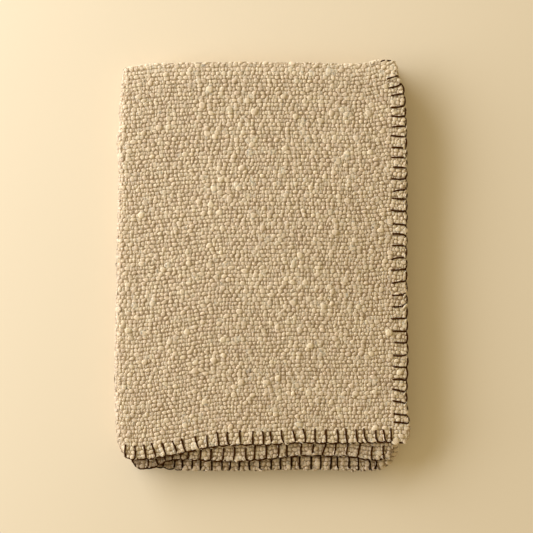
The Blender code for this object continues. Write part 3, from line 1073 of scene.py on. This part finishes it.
def links_of(hem):
    """The thread between one hem's stitches, as tubes. It bows off the middle of the edge, and
    where it has slipped right in, it also lies a little way in from it."""
    at = STITCHES[hem]
    t = np.linspace(0, 1, 7)[None]
    between = at[:-1, None] + (at[1:, None] - at[:-1, None]) * t
    wander = RANDOM.normal(0, 0.3, (len(at) - 1, 1)).clip(-0.6, 0.6)
    sag = SAG + wander
    for of_hem, first, last, level in LINKS:
        if of_hem == hem:
            on = (at[:-1] > first) & (at[:-1] < last)
            sag[on] = level if abs(level) > SLIPPED else level + 0.7 * wander[on]
    up = LIE * sag * np.sin(t * math.pi) ** 0.7
    edge = -1.0 * MM + 0.6 * MM * np.abs(up) / LIE
    edge = np.where(sag < RIGHT_IN, 1.6 * MM * np.sin(t * math.pi), edge)
    thread = dressed(*sheet_coordinates(hem, between, edge), up)
    inner = dressed(*sheet_coordinates(hem, between, edge + 2 * MM), up)
    return tubes(thread, inner - thread, np.full(between.shape, LINK))


# %% Round the four corners
CORNER_CUT = 5 * MM
ON_SIDE, ON_BEND, ON_LONG = 6, 5, 7  # points of the thread before, round and after a corner
CORNER_LEVELS = {  # at some of these points, how far off the middle it lies, as in LINKS
    "outer": ((0, -0.9), (8, -0.9), (10, 0.3), (17, 0.5)),
    "inner": ((0, 0.9), (10, 0.9), (17, 0.3)),
}
CORNER_INSETS = ((0, 0), (1, 2), (9, 2), (11, 0))  # and how far in from the edge, in mm


def corner_line(side, long, end):
    """The thread from the last stitch of a side hem to the first of a long one. On the side it
    slips under the edge, and it comes up again along the long hem."""
    far = STITCHES[side][end]
    near = STITCHES[long][0 if side == "top_side" else -1]
    edge = 0.0 if side == "top_side" else LENGTH
    corner = math.copysign(WIDTH / 2, far)
    bend = np.linspace(0, math.pi / 2, ON_BEND + 2)[1:-1]
    inward, outward = np.sign(near - edge), np.sign(far)
    along = [np.full(ON_SIDE, edge), edge + CORNER_CUT * (1 - np.cos(bend)) * inward,
             np.linspace(edge, near, ON_LONG + 1)[1:]]
    across = [np.linspace(far, corner, ON_SIDE + 2)[:-2],
              corner - CORNER_CUT * (1 - np.sin(bend)) * outward, np.full(ON_LONG, corner)]
    point = np.arange(ON_SIDE + ON_BEND + ON_LONG)
    level = np.interp(point, *np.array(CORNER_LEVELS[long]).T) * LIE
    inset = np.interp(point, *np.array(CORNER_INSETS).T) * MM
    along = np.concatenate(along) + inset * inward
    across = np.concatenate(across) - inset * outward
    return dressed(along, across, level), dressed(along, across, level + 1 * MM)


def round_corners():
    corners = [(side, long, end) for side in ("top_side", "low_side")
               for long, end in (("outer", -1), ("inner", 0))]
    lines, beside = (np.array(found) for found in zip(*(corner_line(*corner) for corner in corners)))
    return tubes(lines, beside - lines, np.full(lines.shape[:2], LINK))


# %% Sew the edge
def sewn_edge():
    made = [tubes_of(hem) for hem in HEMS for tubes_of in (legs_of, links_of)] + [round_corners()]
    starts = np.cumsum([0] + [len(points) for points, _ in made])
    points = np.concatenate([points for points, _ in made])
    faces = np.concatenate([faces + start for (_, faces), start in zip(made, starts)])
    # the tone is painted shade: full on the top layer and falling away below it
    return mesh_piece("blanket_stitch", points, faces, on_top_layer(points), np.zeros(len(points)))


stitching = sewn_edge()

# %% [markdown]
# ## Shader maths as expressions
# A material is easier to read as arithmetic than as a list of nodes and links. One small class
# wraps a node's output socket: +, -, * and / on it add Math nodes, and `node` adds any other kind.

# %% Wrap a socket
class Wire:
    """An output socket that adds Math nodes when it is used in an expression."""

    def __init__(self, tree, socket=None):
        self.tree, self.socket = tree, socket

    def node(self, kind, output, settings=None, **inputs):
        """One output of a new node of this kind: its settings are set first, then its sockets get
        their values or links. i3 is the socket numbered 3, and _ stands for a space in a name."""
        made = self.tree.nodes.new(kind)
        for key, value in (settings or {}).items():
            setattr(made, key, value)
        for key, value in inputs.items():
            socket = made.inputs[int(key[1:]) if key[1:].isdigit() else key.replace("_", " ")]
            if isinstance(value, Wire):
                self.tree.links.new(value.socket, socket)
            else:
                socket.default_value = value
        return Wire(self.tree, made.outputs[output])

    def maths(self, operation, first, second=0.0):
        return self.node("ShaderNodeMath", 0, {"operation": operation}, i0=first, i1=second)

    def __add__(self, other):
        return self.maths("ADD", self, other)

    def __sub__(self, other):
        return self.maths("SUBTRACT", self, other)

    def __rsub__(self, other):
        return self.maths("SUBTRACT", other, self)

    def __mul__(self, other):
        return self.maths("MULTIPLY", self, other)

    def __truediv__(self, other):
        return self.maths("DIVIDE", self, other)

    def __rtruediv__(self, other):
        return self.maths("DIVIDE", other, self)

    __radd__ = __add__
    __rmul__ = __mul__

    def clamped(self):
        return self.node("ShaderNodeClamp", 0, Value=self)

    def mix(self, low, high):
        """low where this is 0 and high where it is 1, for colours."""
        return self.node("ShaderNodeMix", 2, {"data_type": "RGBA"}, i0=self, i6=low, i7=high)


# %% The textures that every cloth here is made from
def attribute(wire, name):
    """A number that the mesh holds for each point."""
    return wire.node("ShaderNodeAttribute", "Fac", {"attribute_name": name})


def noise(wire, place, scale, detail, roughness=0.5):
    return wire.node("ShaderNodeTexNoise", "Fac", Vector=place, Scale=scale, Detail=detail,
                     Roughness=roughness)


def ridges(wire, place, direction, scale, distortion):
    """Parallel ridges, a little wavy."""
    return wire.node("ShaderNodeTexWave", "Fac", {"bands_direction": direction}, Vector=place,
                     Scale=scale, Distortion=distortion, Detail=1.0)


# %% Start and end a cloth material
def cloth_material(name, roughness, gloss, sheen=0.0, sheen_tint=(1, 1, 1)):
    """A Principled material with its fixed sockets set, a Wire to build the rest with, and the
    place of each point on the object."""
    material = bpy.data.materials.new(name)
    material.use_nodes = True
    shader = material.node_tree.nodes["Principled BSDF"]
    shader.inputs["Roughness"].default_value = roughness
    shader.inputs["Specular IOR Level"].default_value = gloss
    shader.inputs["Sheen Weight"].default_value = sheen
    shader.inputs["Sheen Roughness"].default_value = 0.5
    shader.inputs["Sheen Tint"].default_value = (*sheen_tint, 1)
    wire = Wire(material.node_tree)
    return material, wire, wire.node("ShaderNodeTexCoord", "Object")


def finish(material, colour, relief=None, strength=0.0, height=0.0):
    """Links the colour, and a bump whose relief is this high in metres."""
    shader = material.node_tree.nodes["Principled BSDF"]
    material.node_tree.links.new(colour.socket, shader.inputs["Base Color"])
    if relief:
        bump = relief.node("ShaderNodeBump", "Normal", Strength=strength, Distance=height,
                           Height=relief)
        material.node_tree.links.new(bump.socket, shader.inputs["Normal"])
    print(f"{material.name}: {len(material.node_tree.nodes)} nodes")
    return material


# %% [markdown]
# ## The wool
# The wool is undyed: cream loops over a darker beige ground, darker partly as its own colour and
# partly as painted shade for the pits between the loops. Their shade is the sum of a few things: the
# tone that the mesh holds, which carries painted light and shade as well as random tone, a slow
# change from yarn to yarn, the fuzz of the fibres and, on the nubs, the twist of the strands. Another
# slow noise drifts between a pinkish and a yellowish cream, as no fleece is all one colour; where the
# tone is lighter it leans yellowish. Light passes a little way into wool, which keeps the gaps
# between the loops soft. In the bump, fine noise stands for fuzz, and faint ridges for the twist of
# each nub, at its own angle; the ground has a plain weave instead.

# %% Cream wool
WOOL_DARK = (0.32, 0.236, 0.145)
WOOL_LIGHT = (0.78, 0.651, 0.465)
# the ground's darker colour is partly painted shade for the pits between the loops
GROUND_DARK = (0.28, 0.20, 0.115)
GROUND_LIGHT = (0.56, 0.435, 0.285)
TINTS = (0.948, 1.038)  # of the green: pinkish and yellowish
LIGHT_DEPTH = 1.6 * MM
FUZZ, STREAKS = 900.0, 1300.0  # scales of a noise: the higher, the finer
SHADE_PATCHES, TINT_PATCHES = 42.0, 75.0
WEFT, WARP, TWIST = 110.0, 95.0, 3100.0  # scales of ridges
ALONG_TWIST = (1.0, 0.16, 0.5)


def tinted(shade, low, high, tint):
    """The colour between low and high, with its green multiplied by tint."""
    return shade.mix(*((red, green * tint, blue, 1) for red, green, blue in (low, high)))


def twisted(wire, place, fibre):
    """The twist of a nub's yarn at its own angle: long streaks, and its ridges."""
    turned = wire.node("ShaderNodeVectorRotate", 0, {"rotation_type": "Z_AXIS"}, Vector=place,
                       Angle=attribute(wire, "strands"))
    stretched = wire.node("ShaderNodeVectorMath", 0, {"operation": "MULTIPLY"}, i0=turned,
                          i1=ALONG_TWIST)
    across = wire.node("ShaderNodeSeparateXYZ", "X", Vector=turned)
    ply = wire.maths("SINE", across * TWIST + fibre * 2.5)
    return noise(wire, stretched, STREAKS, 3.0, 0.6), ply


def wool(name, low, high, height, woven=False):
    material, wire, place = cloth_material(name, 0.92, 0.2, 0.2, (1.0, 0.93, 0.82))
    shader = material.node_tree.nodes["Principled BSDF"]
    shader.inputs["Subsurface Weight"].default_value = 0.7
    shader.inputs["Subsurface Radius"].default_value = (1.0, 1.0, 1.0)
    shader.inputs["Subsurface Scale"].default_value = LIGHT_DEPTH
    tone = attribute(wire, "tone")
    fibre = noise(wire, place, FUZZ, 3.0, 0.65)
    shade = tone + (fibre - 0.5) * 0.4 + (noise(wire, place, SHADE_PATCHES, 2.0) - 0.5) * 0.6
    if woven:
        weft, warp = ridges(wire, place, "X", WEFT, 2.5), ridges(wire, place, "Y", WARP, 2.5)
        relief = fibre + weft + warp
    else:
        strands, ply = twisted(wire, place, fibre)
        shade = (shade + (strands - 0.5) * 0.5 + 1) / 2
        relief = fibre * 0.6 + strands * 0.7 + ply * 0.25
    shade = shade.clamped()
    drift = noise(wire, place, TINT_PATCHES, 3.0, 0.65) + (tone.clamped() - 0.5) * 0.25
    colour = drift.clamped().mix(*(tinted(shade, low, high, tint) for tint in TINTS))
    return finish(material, colour, relief, 0.55, height)


nub_wool = wool("nub_wool", WOOL_DARK, WOOL_LIGHT, 0.6 * MM)
ground_wool = wool("ground_wool", GROUND_DARK, GROUND_LIGHT, 0.8 * MM, woven=True)

# %% [markdown]
# ## The yarn
# The brown yarn is two strands twisted together, which slanted ridges in its bump suggest. It is matt
# and very dark, and below the top layer it gets painted shade, which it takes from the mesh's tone.

# %% Brown yarn
YARN_DARK = (0.012, 0.0034, 0.0005, 1)
YARN_LIGHT = (0.088, 0.028, 0.0032, 1)
YARN_FUZZ = 1400.0
YARN_PLY = 210.0


def yarn():
    material, wire, place = cloth_material("edge_yarn", 0.9, 0.03, 0.02, (0.5, 0.3, 0.15))
    fibre = noise(wire, place, YARN_FUZZ, 2.0)
    shade = ((fibre - 0.5) * 1.2 + 0.1 + attribute(wire, "tone") * 0.43).clamped()
    relief = fibre * 0.4 + ridges(wire, place, "DIAGONAL", YARN_PLY, 1.5)
    return finish(material, shade.mix(YARN_DARK, YARN_LIGHT), relief, 0.8, 0.5 * MM)


edge_yarn = yarn()

# %% [markdown]
# ## Who rides on what
# The throw has no joints, so every piece rides on the one body. The ground stands for the packed
# solid; nubs and stitching belong to it.

# %% Dress and attach
for piece in nub_pieces:
    piece.data.materials.append(nub_wool)
ground.data.materials.append(ground_wool)
stitching.data.materials.append(edge_yarn)
for piece in (ground, stitching, *nub_pieces):
    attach(piece, "root")
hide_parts("throw_cloth")
print(f"{len(nub_pieces) + 2} pieces ride on the root")

# %% [markdown]
# ## Floor, light and camera
# The throw lies on a plain pale floor. One wide soft lamp stands upright on the left like a tall
# window, turned a little towards the halved end, and an even light fills the shadows. A tall lamp
# that reaches down to the floor gives the long soft shadow which the photo shows on the right. The
# camera looks straight down.

# %% Floor
FLOOR_HALF = 6.0
FLOOR_DARK = (0.83, 0.725, 0.54, 1)
FLOOR_LIGHT = (0.85, 0.745, 0.56, 1)
FLOOR_PATCHES = 0.8


def pale_floor():
    corners = [(x * FLOOR_HALF, y * FLOOR_HALF, 0) for x, y in ((-1, -1), (1, -1), (1, 1), (-1, 1))]
    mesh = bpy.data.meshes.new("floor")
    mesh.from_pydata(corners, [], [(0, 1, 2, 3)])
    floor = bpy.data.objects.new("floor", mesh)
    bpy.context.scene.collection.objects.link(floor)
    material, wire, place = cloth_material("pale_floor", 0.9, 0.2)
    mottled = noise(wire, place, FLOOR_PATCHES, 1.0)
    mesh.materials.append(finish(material, mottled.mix(FLOOR_DARK, FLOOR_LIGHT)))


pale_floor()

# %% Light
LAMP_POWER = 168.0
LAMP_COLOUR = (0.90, 0.925, 1.0)
LAMP_WIDTH = 4.0
LAMP_FOOT, LAMP_TOP = 0.2, 1.9
LAMP_AWAY = 2.5
LAMP_BEARING = math.radians(156.5)
FILL = 0.50
FILL_COLOUR = (1.0, 0.81, 0.48)


def soft_lamp():
    light = bpy.data.lights.new("soft_lamp", "AREA")
    light.shape = "RECTANGLE"
    light.size, light.size_y = LAMP_WIDTH, LAMP_TOP - LAMP_FOOT
    light.energy = LAMP_POWER
    light.color = LAMP_COLOUR
    lamp = bpy.data.objects.new("soft_lamp", light)
    lamp.location = (LAMP_AWAY * math.cos(LAMP_BEARING), LAMP_AWAY * math.sin(LAMP_BEARING),
                     (LAMP_FOOT + LAMP_TOP) / 2)
    lamp.rotation_euler = (math.pi / 2, 0, LAMP_BEARING + math.pi / 2)
    bpy.context.scene.collection.objects.link(lamp)
    world = bpy.data.worlds.new("fill")
    world.use_nodes = True
    world.node_tree.nodes["Background"].inputs["Color"].default_value = (*FILL_COLOUR, 1)
    world.node_tree.nodes["Background"].inputs["Strength"].default_value = FILL
    bpy.context.scene.world = world
    print(f"a soft lamp of {LAMP_POWER:.0f} W stands {LAMP_AWAY} m away, and the fill is {FILL}")


soft_lamp()
bpy.context.scene.view_settings.view_transform = "Standard"

# %% Camera
LENS = 100.0
SENSOR = 36.0


def overhead_camera():
    data = bpy.data.cameras.new("camera")
    data.lens, data.sensor_width = LENS, SENSOR
    camera = bpy.data.objects.new("camera", data)
    distance = PICTURE * PIXEL * LENS / SENSOR
    camera.location = (LOOKED_AT[0], LOOKED_AT[1], LOOKED_AT[2] + distance)
    bpy.context.scene.collection.objects.link(camera)
    bpy.context.scene.camera = camera
    print(f"camera {distance:.2f} m above the top layer")


overhead_camera()
